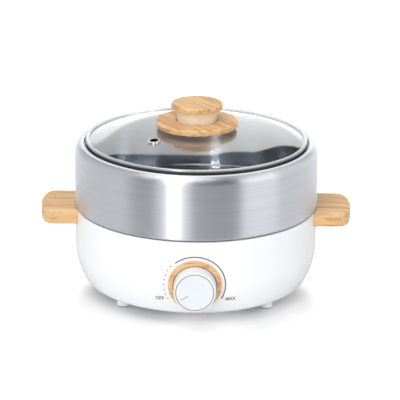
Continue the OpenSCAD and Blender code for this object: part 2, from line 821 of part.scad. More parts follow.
// Element's ring with both cold ends, grown all round by extra
module element_sheath(extra) {
  translate([0, 0, element_z]) rotate([0, 0, element_start - element_tail]) rotate_extrude(angle = element_turn + 2 * element_tail)
    translate([element_ring_r, 0]) circle(element_r + extra);
  for (side = [-1, 1]) translate(element_end(side)) translate([0, 0, cold_end_z])
    cylinder(r = cold_end_r + extra, h = element_z - cold_end_z);
}

module heating_plate() {
  plate_edge = 1.5;
  color("gray") difference() {
    translate([0, 0, plate_bottom_z]) rotate_extrude() soft_disc_half(0, plate_r, plate_t, plate_edge);
    element_sheath(seat_fit);
    plate_screw_places() translate([0, 0, plate_bottom_z - over]) cylinder(r = plate_screw_r + close_fit, h = plate_screw_bite + 2 * over);
  }
}

module heating_element() {
  color("dimgray") {
    element_sheath(0);
    for (side = [-1, 1]) translate(element_end(side)) translate([0, 0, terminal_end_z])
      cylinder(r = terminal_r, h = cold_end_z - terminal_end_z);
  }
}

module element_bushings() {
  color("ivory") for (side = [-1, 1]) translate(element_end(side)) difference() {
    union() {
      translate([0, 0, liner_floor_z]) cylinder(r = bushing_flange_r, h = bushing_flange_h);
      translate([0, 0, liner_floor_z - bushing_spigot_h]) cylinder(r = bushing_spigot_r, h = bushing_spigot_h);
    }
    translate([0, 0, liner_floor_z - bushing_spigot_h - over])
      cylinder(r = cold_end_r + seat_fit, h = bushing_spigot_h + bushing_flange_h + 2 * over);
  }
}

module plate_spacers() {
  color("ivory") plate_screw_places() translate([0, 0, liner_floor_z]) difference() {
    cylinder(r = spacer_r, h = spacer_h);
    translate([0, 0, -over]) cylinder(r = plate_screw_r + seat_fit, h = spacer_h + 2 * over);
  }
}

module plate_screws() {
  color(steel) plate_screw_places() translate([0, 0, liner_under_z])
    screw(plate_screw_r, liner_sheet + spacer_h + plate_screw_bite, plate_head_r, plate_head_h);
}

// Sensor, fuse and leads

module sensing_bulb() {
  color("peru") {
    translate([bulb_end_x - bulb_l, bulb_y, bulb_z]) rotate([0, 90, 0]) cylinder(r = bulb_r, h = bulb_l);
    tube([
      [bulb_end_x - over, bulb_y, bulb_z], [bulb_end_x + 8, bulb_y, bulb_z - 0.5],
      [capillary_hole.x - 2, capillary_hole.y + 1, liner_floor_z], [capillary_hole.x, capillary_hole.y - 4, liner_under_z - 6],
      [1.5 * capillary_x, thermostat_back_y + 2 * capillary_run, capillary_z + 2 * capillary_r],
      [capillary_x, thermostat_back_y + capillary_run, capillary_z], [capillary_x, thermostat_back_y, capillary_z]
    ], capillary_r, 6, 4, [0.1, 0.2, 1]);
  }
}

module bulb_clip() {
  color(steel) translate([bulb_end_x - bulb_l / 2, bulb_y, plate_bottom_z]) plate_strap(bulb_r, bulb_r + seat_fit);
}

module thermal_fuse() {
  color("linen") translate([fuse_x, fuse_y, fuse_z]) rotate([90, 0, 0]) {
    cylinder(r = fuse_r, h = fuse_l, center = true);
    cylinder(r = fuse_pin_r, h = fuse_l + 2 * fuse_pin_l, center = true);
  }
}

module fuse_clip() {
  color(steel) translate([fuse_x, fuse_y, plate_bottom_z]) rotate([0, 0, 90]) plate_strap(fuse_r, fuse_r + seat_fit);
}

element_in = concat(element_end(1), [terminal_end_z]);
element_out = concat(element_end(-1), [terminal_end_z]);

module live_lead() {
  color("saddlebrown") tube([
    [-blade_x, inlet_tab_end_y, inlet_z - blade_offset_z],
    [-blade_x, inlet_tab_end_y - lead_straight, inlet_z - blade_offset_z],
    [-lead_x / 2, 0.74 * inlet_tab_end_y, lead_z + 7], [-lead_x, 0.38 * inlet_tab_end_y, lead_z + 2],
    [-lead_x, 0, lead_z], [-0.7 * lead_x, 0.5 * thermostat_tab_end_y, lead_z + 4],
    [-thermostat_tab_x - 3, thermostat_tab_end_y + 3 * lead_straight, dial_z - lead_straight],
    [-thermostat_tab_x, thermostat_tab_end_y + lead_straight, dial_z], [-thermostat_tab_x, thermostat_tab_end_y, dial_z]
  ], wire_r);
}

module switched_lead() {
  color("firebrick") tube([
    [thermostat_tab_x, thermostat_tab_end_y, dial_z], [thermostat_tab_x, thermostat_tab_end_y + lead_straight, dial_z],
    [lead_x / 2, 0.72 * thermostat_tab_end_y, dial_z - 4], [0.85 * lead_x, 0.44 * thermostat_tab_end_y, dial_z - lead_straight],
    [fuse_x, fuse_in_hole.y - 2 * lead_straight, dial_z + wire_r], [fuse_x, fuse_in_hole.y - 1, liner_under_z - 1],
    [fuse_x, fuse_in_y - 3, fuse_z - 0.6], [fuse_x, fuse_in_y, fuse_z]
  ], wire_r);
}

module fuse_link() {
  color("firebrick") tube([
    [fuse_x, fuse_out_y, fuse_z], [fuse_x, fuse_out_y + 3, fuse_z - 0.6],
    [fuse_x, fuse_out_hole.y + 1, liner_under_z - 1], [fuse_x, fuse_out_hole.y + lead_straight, dial_z],
    [element_in.x + 5, element_in.y - 4, terminal_end_z - 8], [element_in.x, element_in.y, terminal_end_z - 5], element_in
  ], wire_r);
}

module neutral_lead() {
  color("steelblue") tube([
    element_out, [element_out.x, element_out.y, terminal_end_z - lead_straight],
    [element_out.x + lead_straight, element_out.y + 2 * lead_straight, (terminal_end_z + lead_over_boss_z) / 2 - wire_r],
    [wire_r, inlet_tab_end_y - 4 * lead_straight, lead_over_boss_z],
    [blade_x, inlet_tab_end_y - lead_straight, inlet_z - blade_offset_z],
    [blade_x, inlet_tab_end_y, inlet_z - blade_offset_z]
  ], wire_r);
}

module earth_lead() {
  color("seagreen") tube([
    [0, inlet_tab_end_y, inlet_z + blade_offset_z], [0, inlet_tab_end_y - lead_straight, inlet_z + blade_offset_z],
    [lead_straight, inlet_tab_end_y - 3.7 * lead_straight, inlet_z + lead_straight],
    [0.4 * lead_x, earth_y + 4.6 * lead_straight, inlet_z + 2 * lead_straight],
    [0.45 * lead_x, earth_y + 1.6 * lead_straight, earth_z - 2 * earth_barrel_r],
    [earth_tag_r + earth_barrel_l + lead_straight, earth_y, earth_z],
    [earth_tag_r + earth_barrel_l, earth_y, earth_z]
  ], wire_r, aside = [0.1, 0.2, 1]);
}

// Earth screw with its nut and the lead's tag
module earth_screw() {
  color("goldenrod") translate([0, earth_y, 0]) {
    translate([0, 0, liner_under_z - earth_tag_t]) screw(earth_screw_r, earth_tag_t + liner_sheet + earth_nut_h, earth_head_r, earth_head_h);
    translate([0, 0, liner_under_z - earth_tag_t]) cylinder(r = earth_tag_r, h = earth_tag_t);
    translate([0, 0, liner_floor_z]) cylinder(r = earth_head_r, h = earth_nut_h, $fn = 6);
    translate([earth_screw_r, 0, earth_z]) rotate([0, 90, 0])
      cylinder(r = earth_barrel_r, h = earth_tag_r + earth_barrel_l - earth_screw_r);
  }
}

// Power inlet

module socket_outline() {
  x = socket_w / 2;
  z = socket_h / 2;
  polygon([[-x, -z], [x, -z], [x, z - socket_chamfer], [x - socket_chamfer, z], [socket_chamfer - x, z],
    [-x, z - socket_chamfer]]);
}

module power_inlet() {
  color("dimgray") on_inlet() difference() {
    union() {
      translate([0, 0, -inlet_flange_t]) linear_extrude(inlet_flange_t) rounded_rect(inlet_flange_w, inlet_flange_h, 3);
      translate([0, 0, inlet_back_y - inlet_face_y]) linear_extrude(socket_depth + inlet_back)
        square([inlet_w, inlet_h], center = true);
    }
    translate([0, 0, -socket_depth]) linear_extrude(socket_depth + over) socket_outline();
    for (x = [-inlet_screw_x, inlet_screw_x]) translate([x, 0, -inlet_flange_t - over])
      cylinder(r = small_screw_r + seat_fit, h = inlet_flange_t + 2 * over);
    blade_places() translate([0, 0, -socket_depth - inlet_back - over]) linear_extrude(inlet_back + 2 * over)
      square([blade_t + 2 * close_fit, blade_w + 2 * close_fit], center = true);
  }
}

// Live and neutral blades sit low, the earth blade sits high in the middle
module blade_places() {
  for (p = [[-blade_x, -blade_offset_z], [blade_x, -blade_offset_z], [0, blade_offset_z]]) translate(p) children();
}

module inlet_pins() {
  color("goldenrod") on_inlet() blade_places() {
    translate([0, 0, -socket_depth - inlet_back]) linear_extrude(blade_l + inlet_back) square([blade_t, blade_w], center = true);
    translate([0, 0, -socket_depth - inlet_back - tab_l]) linear_extrude(tab_l) square([tab_t, tab_w], center = true);
  }
}

module inlet_screws() {
  color(steel) inlet_screw_places() mirror([0, 0, 1])
    screw(small_screw_r, block_face_t + inlet_post_l - 2 * over, small_head_r, small_head_h);
}

// Pot

// Half section of the pot's outer form, drawn in by inset
module pot_half(inset) {
  translate([0, pot_floor_z + inset]) square([well_r - well_corner_r, well_corner_r - inset]);
  translate([well_r - well_corner_r, pot_floor_z + well_corner_r]) circle(well_corner_r - inset);
  translate([0, pot_floor_z + well_corner_r]) square([well_r - inset, step_z + step_corner_r - pot_floor_z - well_corner_r]);
  translate([0, step_z + inset]) square([body_r - step_corner_r, step_corner_r - inset]);
  translate([body_r - step_corner_r, step_z + step_corner_r]) circle(step_corner_r - inset);
  translate([0, step_z + step_corner_r]) square([body_r - inset, lip_z - shoulder_r - step_z - step_corner_r]);
  translate([lip_r, lip_z - shoulder_r]) circle(shoulder_r - inset);
  translate([0, lip_z - shoulder_r]) square([lip_r, shoulder_r - inset]);
}

module pot() {
  color(steel) rotate_extrude() {
    difference() {
      pot_half(0);
      pot_half(pot_sheet);
      translate([0, seat_z - pot_sheet]) square([mouth_r, seat_drop + pot_sheet + over]);
    }
    ring_half(mouth_r, lip_r, seat_z - pot_sheet, lip_z);
    ring_half(seat_in_r, lip_r, seat_z - pot_sheet, seat_z);
    ring_half(seat_in_r, seat_in_r + pot_sheet, seat_z - seat_turn, seat_z);
  }
}

// Lid

// Half section of the dome, grown by extra all round
module glass_half(extra) {
  intersection() {
    difference() {
      translate([0, dome_c]) circle(dome_r + extra, $fn = 720);
      translate([0, dome_c]) circle(dome_r - glass_t - extra, $fn = 720);
    }
    translate([0, seat_z - glass_t]) square([glass_r + extra, crown_z - seat_z + 2 * glass_t]);
  }
}

module lid_glass() {
  color("azure", 0.4) difference() {
    rotate_extrude() glass_half(0);
    translate([0, 0, inner_crown_z - over]) cylinder(r = glass_hole_r, h = glass_t + 2 * over);
    on_vent() translate([0, 0, -glass_t - over]) cylinder(r = grommet_r + seat_fit, h = glass_t + 2 * over);
  }
}

module lid_rim() {
  color(steel) rotate_extrude() difference() {
    union() {
      ring_half(rim_in_r, rim_r, seat_z, rim_top_z - rim_lip_r);
      ring_half(rim_in_r + rim_lip_r, rim_r - rim_lip_r, seat_z, rim_top_z);
      for (r = [rim_in_r + rim_lip_r, rim_r - rim_lip_r]) translate([r, rim_top_z - rim_lip_r]) circle(rim_lip_r);
    }
    glass_half(close_fit);
  }
}

module vent_grommet() {
  flange_r = grommet_r + grommet_flange_w;
  color(steel) on_vent() difference() {
    union() {
      translate([0, 0, -glass_t - seat_fit - grommet_flange_t]) cylinder(r = grommet_r, h = glass_t + 2 * seat_fit + grommet_flange_t);
      translate([0, 0, seat_fit]) rotate_extrude() soft_disc_half(0, flange_r, grommet_flange_t, 0.35);
      translate([0, 0, -glass_t - seat_fit - grommet_flange_t]) cylinder(r = flange_r, h = grommet_flange_t);
    }
    translate([0, 0, -2 * glass_t]) cylinder(r = vent_r, h = 3 * glass_t);
  }
}

// Lid knob

module knob_base() {
  color(wood) translate([0, 0, disc_z]) difference() {
    rotate_extrude() soft_disc_half(0, disc_r, disc_t, knob_edge_r);
    translate([0, 0, disc_t - recess_depth]) cylinder(r = neck_r + recess_gap, h = recess_depth + over);
    translate([0, 0, -over]) cylinder(r = knob_screw_r + seat_fit, h = disc_t + 2 * over);
  }
}

module knob_neck() {
  color("blanchedalmond") translate([0, 0, neck_z]) difference() {
    cylinder(r = neck_r, h = cap_z - neck_z);
    translate([0, 0, -over]) cylinder(r = knob_screw_r + seat_fit, h = cap_z - neck_z + 2 * over);
  }
}

module knob_cap() {
  color(wood) translate([0, 0, cap_z]) difference() {
    rotate_extrude() soft_disc_half(0, cap_r, cap_t, knob_edge_r);
    translate([0, 0, -over]) cylinder(r = insert_r + close_fit, h = insert_h + over);
  }
}

module knob_insert() {
  color("goldenrod") translate([0, 0, cap_z]) difference() {
    cylinder(r = insert_r, h = insert_h);
    translate([0, 0, -over]) cylinder(r = knob_screw_r + close_fit, h = insert_h + 2 * over);
  }
}

module knob_screw() {
  color(steel) translate([0, 0, washer_z]) screw(knob_screw_r, cap_z + insert_h - washer_z, screw_head_r, screw_head_h);
}

module knob_washer() {
  color(steel) translate([0, 0, washer_z]) difference() {
    cylinder(r = washer_r, h = washer_t);
    translate([0, 0, -over]) cylinder(r = knob_screw_r + seat_fit, h = washer_t + 2 * over);
  }
}

module knob_seals() {
  color("dimgray") for (s = [[crown_z, seal_r], [lower_seal_z, washer_r]]) translate([0, 0, s.x]) difference() {
    cylinder(r = s.y, h = seal_t);
    translate([0, 0, -over]) cylinder(r = knob_screw_r + seat_fit, h = seal_t + 2 * over);
  }
}

base_shell();
bottom_cover();
cover_screws();
foot_pads();
handle_left();
handle_right();
handle_screws();
dial_bezel();
well_liner();
liner_screws();
heating_plate();
heating_element();
element_bushings();
plate_spacers();
plate_screws();
thermostat_case();
thermostat_tabs();
thermostat_screws();
sensing_bulb();
bulb_clip();
thermal_fuse();
fuse_clip();
power_inlet();
inlet_pins();
inlet_screws();
live_lead();
switched_lead();
fuse_link();
neutral_lead();
earth_lead();
earth_screw();
thermostat_spindle();
dial_knob();
dial_face();
dial_pointer();
knob_spring();
pot();
lid_glass();
lid_rim();
vent_grommet();
knob_base();
knob_neck();
knob_cap();
knob_screw();
knob_washer();
knob_seals();
knob_insert();
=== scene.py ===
"""Round electric skillet: materials, printed dial marks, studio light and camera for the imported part."""
import json
import math

import bpy
from mathutils import Matrix, Vector


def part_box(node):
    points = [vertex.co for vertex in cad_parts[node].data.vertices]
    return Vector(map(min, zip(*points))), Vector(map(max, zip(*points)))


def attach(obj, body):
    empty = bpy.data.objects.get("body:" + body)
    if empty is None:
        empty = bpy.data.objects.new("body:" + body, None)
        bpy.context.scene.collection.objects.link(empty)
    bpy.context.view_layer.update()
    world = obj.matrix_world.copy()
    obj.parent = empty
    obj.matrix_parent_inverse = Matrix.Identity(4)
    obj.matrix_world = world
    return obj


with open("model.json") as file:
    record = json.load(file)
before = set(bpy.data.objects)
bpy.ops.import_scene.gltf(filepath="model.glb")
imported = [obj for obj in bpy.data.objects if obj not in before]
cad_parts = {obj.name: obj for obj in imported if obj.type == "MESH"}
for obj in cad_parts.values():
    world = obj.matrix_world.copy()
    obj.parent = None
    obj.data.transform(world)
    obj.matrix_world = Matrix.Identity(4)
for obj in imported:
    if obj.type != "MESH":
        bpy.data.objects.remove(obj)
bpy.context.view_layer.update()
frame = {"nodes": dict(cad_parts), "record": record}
nodes = frame["nodes"]

# Shell's outer wall in metres, as the solids have it: straight above ROUND_Z, one arc below it
BODY_R = 0.120
ROUND_Z = 0.047
SIDE_ARC_R = 0.0674

# Dial: height of its axis, front of the inset face, and the groove round that face
DIAL_LOW, DIAL_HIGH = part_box("dial_bezel")
DIAL_Z = (DIAL_LOW.z + DIAL_HIGH.z) / 2
FACE_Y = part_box("dial_face")[0].y
GROOVE_IN_R, GROOVE_OUT_R = 0.0172, 0.0183
GROOVE_TOP, GROOVE_BED = 0.0002, 0.0024

# Pot: outer radius, top and radius of the lip, and where the inside and the well's floor begin
POT_R, LIP_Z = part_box("pot")[1].x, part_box("pot")[1].z
LIP_R = 0.112
MID_SHEET = 0.0006
SEAT_DROP = 0.0095
WELL_EDGE_Z, WELL_FLOOR_Z = 0.094, 0.089

# Lid: radius of its rim, centre of the vent
RIM_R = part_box("lid_rim")[1].x
VENT = sum(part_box("vent_grommet"), Vector()) / 2

# Lift of the printed marks off the shell
INK = 0.00006


# Node helpers

def add(tree, kind, inputs=None, **settings):
    """Adds a shader node, sets its properties, and links or sets its inputs."""
    made = tree.nodes.new("ShaderNode" + kind)
    for key, value in settings.items():
        setattr(made, key, value)
    for key, value in (inputs or {}).items():
        if isinstance(value, bpy.types.NodeSocket):
            tree.links.new(value, made.inputs[key])
        else:
            made.inputs[key].default_value = value
    return made


def calc(tree, operation, a, b=0.0):
    return add(tree, "Math", {0: a, 1: b}, operation=operation).outputs[0]


def chain(tree, operation, values):
    result = values[0]
    for value in values[1:]:
        result = calc(tree, operation, result, value)
    return result


def product(tree, *factors):
    return chain(tree, "MULTIPLY", factors)


def total(tree, *terms):
    return chain(tree, "ADD", terms)


def largest(tree, *values):
    return chain(tree, "MAXIMUM", values)


def minus(tree, a, b):
    return calc(tree, "SUBTRACT", a, b)


def size_of(tree, value):
    return calc(tree, "ABSOLUTE", value)


def length(tree, a, b):
    return calc(tree, "SQRT", total(tree, product(tree, a, a), product(tree, b, b)))


def above(tree, value, limit):
    return calc(tree, "GREATER_THAN", value, limit)


def below(tree, value, limit):
    return calc(tree, "LESS_THAN", value, limit)


def level(tree, factor, low, high):
    """Maps 0..1 to low..high."""
    return add(tree, "MapRange", {"Value": factor, "To Min": low, "To Max": high}).outputs["Result"]


def step(tree, value, low, high):
    """Smooth step from 0 at low to 1 at high; low may be above high."""
    return add(tree, "MapRange", {"Value": value, "From Min": low, "From Max": high},
               interpolation_type="SMOOTHSTEP").outputs["Result"]


def between(tree, value, first, second):
    """1 between two soft edges, each given as where it starts from 0 and where it reaches 1."""
    return product(tree, step(tree, value, *first), step(tree, value, *second))


def turn_of(tree, x, y):
    """Turn round the part's axis in radians: 0 towards the camera, positive to the right."""
    return calc(tree, "ARCTAN2", x, product(tree, y, -1.0))


def ramp(tree, factor, stops):
    """Colour ramp from (position, colour) pairs."""
    made = add(tree, "ValToRGB", {"Fac": factor})
    elements = made.color_ramp.elements
    while len(elements) < len(stops):
        elements.new(0.5)
    for element, (place, colour) in zip(elements, stops):
        element.position = place
        element.color = (*colour, 1)
    return made.outputs["Color"]


def blend(tree, factor, a, b, mode="MIX"):
    """Mixes two colours, each a socket or an RGB tuple."""
    made = add(tree, "Mix", data_type="RGBA", blend_type=mode)
    for socket, value in ((made.inputs[0], factor), (made.inputs[6], a), (made.inputs[7], b)):
        if isinstance(value, bpy.types.NodeSocket):
            tree.links.new(value, socket)
        else:
            socket.default_value = (*value, 1) if isinstance(value, tuple) else value
    return made.outputs[2]


def coords(tree):
    """Object coordinates as one socket."""
    return add(tree, "TexCoord").outputs["Object"]


def places(tree):
    """Object coordinates as three sockets."""
    return add(tree, "SeparateXYZ", {0: coords(tree)}).outputs


def noise(tree, vector, scale=1.0, detail=3.0, roughness=0.5, distortion=0.0):
    return add(tree, "TexNoise", {"Vector": vector, "Scale": scale, "Detail": detail, "Roughness": roughness,
                                  "Distortion": distortion}).outputs["Fac"]


def bump(tree, height, strength, distance):
    return add(tree, "Bump", {"Height": height, "Strength": strength, "Distance": distance}).outputs["Normal"]


def material(name, **sockets):
    """New material with one principled shader; returns the material, its tree and the shader."""
    made = bpy.data.materials.new(name)
    made.use_nodes = True
    tree = made.node_tree
    tree.nodes.clear()
    shader = add(tree, "BsdfPrincipled")
    add(tree, "OutputMaterial", {"Surface": shader.outputs["BSDF"]})
    for key, value in sockets.items():
        shader.inputs[key.replace("_", " ")].default_value = value
    return made, tree, shader


def shader_of(made):
    return next(node for node in made.node_tree.nodes if node.type == "BSDF_PRINCIPLED")


def join(tree, shader, **links):
    for key, socket in links.items():
        tree.links.new(socket, shader.inputs[key.replace("_", " ")])


def shades(colour, spread):
    """A colour made darker and lighter by a share of itself."""
    return tuple(c * (1 - spread) for c in colour), tuple(min(1.0, c * (1 + spread)) for c in colour)


# Materials

def turned_coords(tree, around, across):
    """Coordinates for marks round the pot's axis: slow round it, fine up the wall and along the radius."""
    x, y, z = places(tree)
    fine = product(tree, minus(tree, z, length(tree, x, y)), across)
    slow_x, slow_y = product(tree, x, around), product(tree, y, around)
    return add(tree, "CombineXYZ", {0: slow_x, 1: slow_y, 2: fine}).outputs[0]


def spun_steel(name, tint, rough, spread, brush, anisotropy, metal=1.0):
    """Sheet steel brushed round the axis: fine rings in tone, roughness and relief."""
    made, tree, shader = material(name, Metallic=metal, Anisotropic=anisotropy, Anisotropic_Rotation=0.25)
    rings = noise(tree, turned_coords(tree, around=9.0, across=1500.0), detail=4.0, roughness=0.65)
    wide = noise(tree, turned_coords(tree, around=5.0, across=160.0), detail=2.0)
    cloud = noise(tree, coords(tree), scale=14.0, detail=2.0)
    tone = total(tree, product(tree, rings, 0.6), product(tree, wide, 0.4))
    dark, light = shades(tint, brush)
    gloss = total(tree, level(tree, rings, rough - spread, rough + spread), product(tree, cloud, 0.04))
    tangent = add(tree, "Tangent", direction_type="RADIAL", axis="Z").outputs[0]
    join(tree, shader, Base_Color=ramp(tree, tone, [(0.3, dark), (0.7, light)]), Roughness=gloss,
         Tangent=tangent, Normal=bump(tree, rings, strength=0.12, distance=0.00002))
    return made


def touch_up(made, where, colour, gloss=None):
    """Tints a material, and scales its roughness if gloss is named, where a mask of object coordinates is 1."""
    tree, shader = made.node_tree, shader_of(made)
    mask = where(tree, *places(tree))
    old = shader.inputs["Base Color"].links[0].from_socket
    join(tree, shader, Base_Color=blend(tree, mask, old, colour, "MULTIPLY"))
    if gloss is not None:
        rough = shader.inputs["Roughness"].links[0].from_socket
        join(tree, shader, Roughness=product(tree, rough, level(tree, mask, 1.0, gloss)))
    return made


def pot_steel(name):
    """Brushed outside; smoother inside, most of all on the well's floor; a pale, less metallic band painted on
    the lip as a painted highlight.
    """
    made = spun_steel(name, tint=(0.675, 0.70, 0.742), rough=0.34, spread=0.04, brush=0.07, anisotropy=1.0)
    lip_highlight_fade = (LIP_R + 0.0030, LIP_R + 0.0016)
    lip_foot = LIP_Z - 0.0020

    def inside(tree, x, y, z):
        return product(tree, below(tree, length(tree, x, y), POT_R - MID_SHEET),
                       below(tree, z, LIP_Z - SEAT_DROP))

    def floor(tree, x, y, z):
        return product(tree, inside(tree, x, y, z), step(tree, z, WELL_EDGE_Z, WELL_FLOOR_Z))

    def lip(tree, x, y, z):
        return product(tree, step(tree, length(tree, x, y), *lip_highlight_fade), above(tree, z, lip_foot))

    made = touch_up(made, inside, (0.98, 0.98, 0.99), gloss=0.62)
    made = touch_up(made, floor, (0.97, 0.97, 0.98), gloss=0.5)
    # Painted highlight: the lip is lightened, and below made mostly non-metallic, so that it shows as a bright
    # line.
    made = touch_up(made, lip, (1.3, 1.3, 1.3))
    tree = made.node_tree
    join(tree, shader_of(made), Metallic=level(tree, lip(tree, *places(tree)), 1.0, 0.2))
    return made


def timber(name, pale, mid, dark, along, fine=1.0):
    """Straight-grained oiled wood: wide bands, fibres and pores along one direction, and a faint sheen."""
    made, tree, shader = material(name, Specular_IOR_Level=0.8, Coat_Weight=0.1, Coat_Roughness=0.35)
    local = add(tree, "Mapping", {"Vector": coords(tree), "Rotation": along}).outputs["Vector"]

    def grain(slow, quick):
        scale = (slow, quick * fine, quick * fine)
        return add(tree, "Mapping", {"Vector": local, "Scale": scale}).outputs["Vector"]

    warp = product(tree, noise(tree, grain(slow=12.0, quick=30.0), detail=2.0), 1.6)
    bent = add(tree, "VectorMath", {0: grain(slow=7.0, quick=150.0), 1: warp}, operation="ADD").outputs[0]
    bands = noise(tree, bent, detail=2.5, distortion=0.5)
    fibres = noise(tree, grain(slow=45.0, quick=800.0), roughness=0.7)
    pores = noise(tree, grain(slow=110.0, quick=1600.0), detail=2.0, roughness=0.6)
    base = ramp(tree, bands, [(0.34, dark), (0.46, mid), (0.58, pale)])
    fleck = ramp(tree, fibres, [(0.3, (0.78, 0.70, 0.62)), (0.56, (1.0, 1.0, 1.0))])
    pit = ramp(tree, pores, [(0.30, (0.66, 0.52, 0.40)), (0.40, (1.0, 1.0, 1.0))])
    colour = blend(tree, 0.4, blend(tree, 0.7, base, fleck, "MULTIPLY"), pit, "MULTIPLY")
    relief = total(tree, product(tree, fibres, 0.6), product(tree, pores, 0.4))
    join(tree, shader, Base_Color=colour, Roughness=level(tree, fibres, 0.38, 0.50),
         Normal=bump(tree, relief, strength=0.2, distance=0.0001))
    return made


def moulded(name, colour, rough, mottle=0.015, coat=0.0, grain=1400.0, relief=0.05):
    """Moulded plastic: faint mottling, orange-peel relief and small changes in gloss."""
    made, tree, shader = material(name, Coat_Weight=coat, Coat_Roughness=0.08)
    slow = noise(tree, coords(tree), scale=22.0, detail=2.0)
    fine = noise(tree, coords(tree), scale=grain, detail=2.0, roughness=0.6)
    low, high = shades(colour, mottle)
    gloss = total(tree, level(tree, slow, rough - 0.03, rough + 0.03), product(tree, fine, 0.03))
    join(tree, shader, Base_Color=ramp(tree, slow, [(0.35, low), (0.65, high)]), Roughness=gloss,
         Normal=bump(tree, fine, strength=relief, distance=0.0002))
    return made


def worked_metal(name, colour, rough, grain=500.0):
    """Cast, plated or drawn metal: cloudy tone and a fine uneven finish."""
    made, tree, shader = material(name, Metallic=1.0)
    cloud = noise(tree, coords(tree), scale=60.0)
    fine = noise(tree, coords(tree), scale=grain, roughness=0.65)
    tone = ramp(tree, cloud, [(0.3, tuple(c * 0.86 for c in colour)), (0.7, colour)])
    join(tree, shader, Base_Color=tone, Roughness=level(tree, fine, rough - 0.08, rough + 0.08),
         Normal=bump(tree, fine, strength=0.12, distance=0.0001))
    return made


def clear_glass(name):
    """Tempered lid glass: clear, faintly blue, with slight ripples from forming; light passes it to the pot."""
    made, tree, shader = material(name, Transmission_Weight=1.0, IOR=1.6, Coat_Weight=1.0, Coat_IOR=1.8,
                                  Coat_Roughness=0.0, Specular_Tint=(0.9, 0.96, 1.0, 1.0))
    ripple = noise(tree, coords(tree), scale=18.0, detail=1.0)
    film = noise(tree, coords(tree), scale=40.0)
    tone = ramp(tree, film, [(0.3, (0.94, 0.97, 0.985)), (0.7, (0.955, 0.98, 0.99))])
    shadow = add(tree, "LightPath").outputs["Is Shadow Ray"]
    join(tree, shader, Base_Color=tone, Roughness=level(tree, film, 0.0, 0.012),
         Normal=bump(tree, ripple, strength=0.02, distance=0.0004), Alpha=level(tree, shadow, 1.0, 0.0))
    return made


def knob_plastic(name):
    """Satin white knob; the groove round its inset face is painted grey, a painted shade in the recess."""
    made = moulded(name, (0.79, 0.825, 0.855), rough=0.34, mottle=0.01, grain=1800.0, relief=0.04)

    def groove(tree, x, y, z):
        radius = length(tree, x, minus(tree, z, DIAL_Z))
        return product(tree, above(tree, radius, GROOVE_IN_R), below(tree, radius, GROOVE_OUT_R),
                       above(tree, y, FACE_Y + GROOVE_TOP), below(tree, y, FACE_Y + GROOVE_BED))

    # Painted shade: the groove is darkened to grey where shade falls in it.
    return touch_up(made, groove, (0.56, 0.57, 0.59))


def rim_steel(name):
    """Polished rim, only partly metallic so that its pale top shows as a bright line, a painted highlight; its
    outer side, in the gap beside the pot's lip, has painted shade, grey above and dark below.
    """
    # Only 0.3 metallic: the rim's pale diffuse part shows as a white line, a painted highlight.
    made = spun_steel(name, tint=(0.88, 0.90, 0.93), rough=0.18, spread=0.03, brush=0.03, anisotropy=0.3,
                      metal=0.3)
    side_shade_fade = (RIM_R - 0.0011, RIM_R - 0.0006)
    gap_shade_fade = (LIP_Z + 0.0034, LIP_Z + 0.0020)

    def outer(tree, x, y, z):
        return step(tree, length(tree, x, y), *side_shade_fade)

    def low(tree, x, y, z):
        return product(tree, outer(tree, x, y, z), step(tree, z, *gap_shade_fade))

    # Painted shade: the whole outer side is greyed, and its lower part, deepest in the gap, is darkened almost
    # to black.
    return touch_up(touch_up(made, outer, (0.45, 0.45, 0.47)), low, (0.09, 0.09, 0.095))


def vent_steel(name):
    """Polished eyelet; its bore is painted dark, a painted shade inside the hole."""
    made = spun_steel(name, tint=(0.84, 0.86, 0.89), rough=0.14, spread=0.03, brush=0.03, anisotropy=0.3)
    bore_shade_fade = (0.0047, 0.0042)

    def bore(tree, x, y, z):
        return step(tree, length(tree, minus(tree, x, VENT.x), minus(tree, y, VENT.y)), *bore_shade_fade)

    # Painted shade: the bore is darkened almost to black.
    return touch_up(made, bore, (0.05, 0.05, 0.05))


